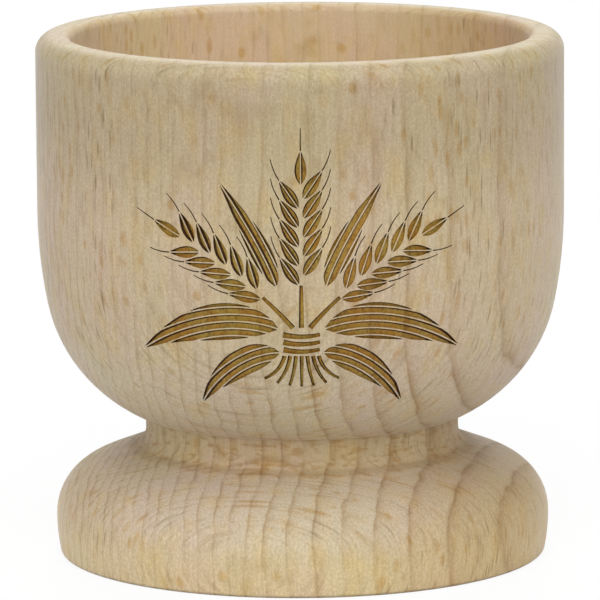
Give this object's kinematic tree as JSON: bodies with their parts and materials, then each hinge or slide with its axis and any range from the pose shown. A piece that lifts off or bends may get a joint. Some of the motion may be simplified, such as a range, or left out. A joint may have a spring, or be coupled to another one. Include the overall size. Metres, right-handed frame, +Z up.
{
  "type": "egg cup",
  "caption": "Turned beech egg cup: straight-walled round bowl with a ball-bottomed hollow for a boiled egg, on a narrow neck and a rounded, flat-bottomed foot.",
  "frame": {"origin": "centre of the foot's underside", "axes": "+Z up along the turning axis, -Y towards the engraved front"},
  "size_m": [0.05, 0.05, 0.0498],
  "materials": {
    "beech": "fine-sanded, unvarnished"
  },
  "bodies": {
    "root": {"turned_cup": "beech"}
  },
  "joints": []
}
